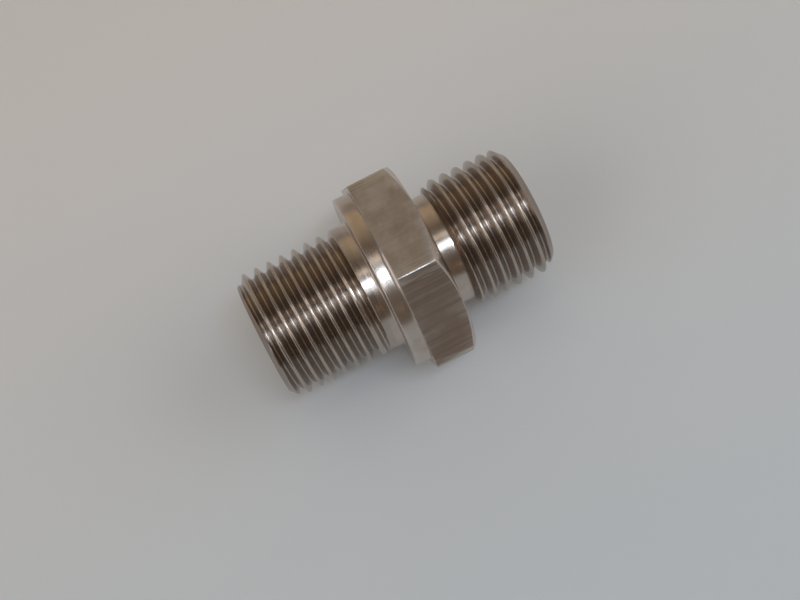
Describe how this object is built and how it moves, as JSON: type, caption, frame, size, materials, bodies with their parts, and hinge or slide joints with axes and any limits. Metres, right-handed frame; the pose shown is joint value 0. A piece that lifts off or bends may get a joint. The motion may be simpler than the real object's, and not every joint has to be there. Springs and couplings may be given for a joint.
{
  "type": "hex nipple",
  "caption": "Steel hex nipple with male pipe threads at both ends, a round sealing collar beside the hexagon and a through-bore.",
  "frame": {"origin": "on the bore's axis, halfway between the two ends", "axes": "+X along the bore from the long stud towards the short stud, +Z square to one hexagon flat, +Y towards a hexagon corner"},
  "size_m": [0.0286, 0.022, 0.019],
  "materials": {
    "machined_steel": "bright turned stainless steel with drawn hexagon flats"
  },
  "bodies": {
    "root": {"nipple_body": "machined_steel"}
  },
  "joints": []
}
